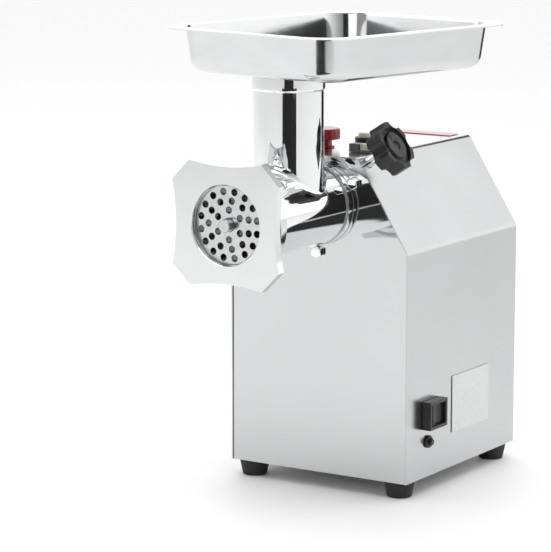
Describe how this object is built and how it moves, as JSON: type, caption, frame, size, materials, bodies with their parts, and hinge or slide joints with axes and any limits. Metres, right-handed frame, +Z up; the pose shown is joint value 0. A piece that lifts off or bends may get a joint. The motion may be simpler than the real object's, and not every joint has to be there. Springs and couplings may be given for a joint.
{
  "type": "electric meat grinder",
  "caption": "Counter-top electric meat grinder: tapered steel motor housing, horizontal grinding head with feed tube, loose feed pan, ring nut, plate, knife and screw.",
  "frame": {"origin": "centre of the object's box, on the surface its feet stand on", "axes": "+Z up, -Y towards the outlet, +X towards the side with the switch"},
  "size_m": [0.2342, 0.3468, 0.4079],
  "materials": {
    "polished_steel": "polished stainless sheet and castings",
    "pan_steel": "satin stainless sheet",
    "machined_steel": "machined steel",
    "cast_aluminium": "as-cast aluminium",
    "black_plastic": "satin black plastic",
    "black_rubber": "matt black rubber",
    "red_plastic": "glossy red plastic",
    "cream_plastic": "cream plastic",
    "winding": "laminated iron with lacquered copper windings",
    "bronze": "plain bearing bronze"
  },
  "bodies": {
    "base": {"housing_cover": "polished_steel", "front_panel": "polished_steel", "rear_panel": "polished_steel", "base_plate": "polished_steel", "neck_bolt_1": "polished_steel", "neck_bolt_2": "polished_steel", "neck_bolt_3": "polished_steel", "rating_plate": "polished_steel", "clamp_nut": "machined_steel", "output_bearing_front": "machined_steel", "output_bearing_rear": "machined_steel", "cluster_pin": "machined_steel", "motor_bearing_front": "machined_steel", "motor_bearing_rear": "machined_steel", "stop_spring": "machined_steel", "foot_screw_front_left": "machined_steel", "foot_screw_front_right": "machined_steel", "foot_screw_rear_left": "machined_steel", "foot_screw_rear_right": "machined_steel", "gearbox_housing": "cast_aluminium", "gearbox_cover": "cast_aluminium", "motor_housing": "cast_aluminium", "motor_end_shield": "cast_aluminium", "switch_bezel": "black_plastic", "reset_collar": "black_plastic", "start_collar": "black_plastic", "key_block": "black_plastic", "power_inlet": "black_plastic", "capacitor": "black_plastic", "foot_front_left": "black_rubber", "foot_front_right": "black_rubber", "foot_rear_left": "black_rubber", "foot_rear_right": "black_rubber", "stop_collar": "red_plastic", "top_strip": "red_plastic", "motor_stator": "winding"},
    "output": {"output_shaft": "machined_steel", "output_gear": "machined_steel"},
    "cluster": {"cluster_gear": "machined_steel"},
    "motor_spindle": {"motor_rotor": "machined_steel", "motor_pinion": "machined_steel", "cooling_fan": "black_plastic"},
    "head": {"head_casting": "polished_steel", "plate_key_pin": "machined_steel", "thrust_washer": "bronze", "grinding_plate": "machined_steel"},
    "feed_screw": {"auger": "machined_steel", "knife": "machined_steel"},
    "nut": {"ring_nut": "polished_steel"},
    "pan": {"feed_pan": "pan_steel"},
    "clamp": {"star_knob": "black_plastic", "clamp_screw": "polished_steel"},
    "rocker": {"power_rocker": "black_plastic"},
    "key": {"side_key": "cream_plastic"},
    "reset": {"reset_button": "black_plastic"},
    "stop": {"stop_button": "red_plastic"},
    "start": {"start_button": "cream_plastic"}
  },
  "joints": [
    {"name": "motor_spin", "type": "hinge", "parent": "base", "child": "motor_spindle", "pos_m": [-0.01136, 0.0736, 0.17503], "axis": [0, 1, 0], "continuous": true},
    {"name": "cluster_spin", "type": "hinge", "parent": "base", "child": "cluster", "pos_m": [-0.01136, 0.0186, 0.2144], "axis": [0, 1, 0], "continuous": true},
    {"name": "output_spin", "type": "hinge", "parent": "base", "child": "output", "pos_m": [-0.01136, 0.0036, 0.2529], "axis": [0, 1, 0], "continuous": true},
    {"name": "head_slide", "type": "slide", "parent": "base", "child": "head", "axis": [0, -1, 0], "range_m": [0, 0.05]},
    {"name": "auger_spin", "type": "hinge", "parent": "head", "child": "feed_screw", "pos_m": [-0.01136, -0.0964, 0.2529], "axis": [0, 1, 0], "continuous": true},
    {"name": "ring_nut_turn", "type": "hinge", "parent": "head", "child": "nut", "pos_m": [-0.01136, -0.1664, 0.2529], "axis": [0, -1, 0], "range_deg": [0, 1080]},
    {"name": "pan_lift", "type": "slide", "parent": "head", "child": "pan", "axis": [0, 0, 1], "range_m": [0, 0.06]},
    {"name": "knob_turn", "type": "hinge", "parent": "base", "child": "clamp", "pos_m": [0.03196, -0.0144, 0.29026], "axis": [0.845, 0, 0.5348], "range_deg": [0, 720]},
    {"name": "power_rocker_tilt", "type": "hinge", "parent": "base", "child": "rocker", "pos_m": [0.08164, 0.0156, 0.0705], "axis": [0, 0, 1], "range_deg": [-16, 0]},
    {"name": "side_key_press", "type": "slide", "parent": "base", "child": "key", "axis": [0, 0, -1], "range_m": [0, 0.002], "stiffness_N_per_m": 500, "springref_m": -0.001},
    {"name": "reset_press", "type": "slide", "parent": "base", "child": "reset", "axis": [-1, 0, 0], "range_m": [0, 0.002], "stiffness_N_per_m": 600, "springref_m": -0.001},
    {"name": "stop_press", "type": "slide", "parent": "base", "child": "stop", "axis": [0, 0, -1], "range_m": [0, 0.004], "stiffness_N_per_m": 700, "springref_m": -0.001, "deforming": ["stop_spring"]},
    {"name": "start_press", "type": "slide", "parent": "base", "child": "start", "axis": [0, 0, -1], "range_m": [0, 0.003], "stiffness_N_per_m": 600, "springref_m": -0.001}
  ],
  "couplings": [
    {"joint": "cluster_spin", "follows": "motor_spin", "ratio": -0.36364},
    {"joint": "output_spin", "follows": "motor_spin", "ratio": 0.15249},
    {"joint": "auger_spin", "follows": "motor_spin", "ratio": 0.15249}
  ]
}
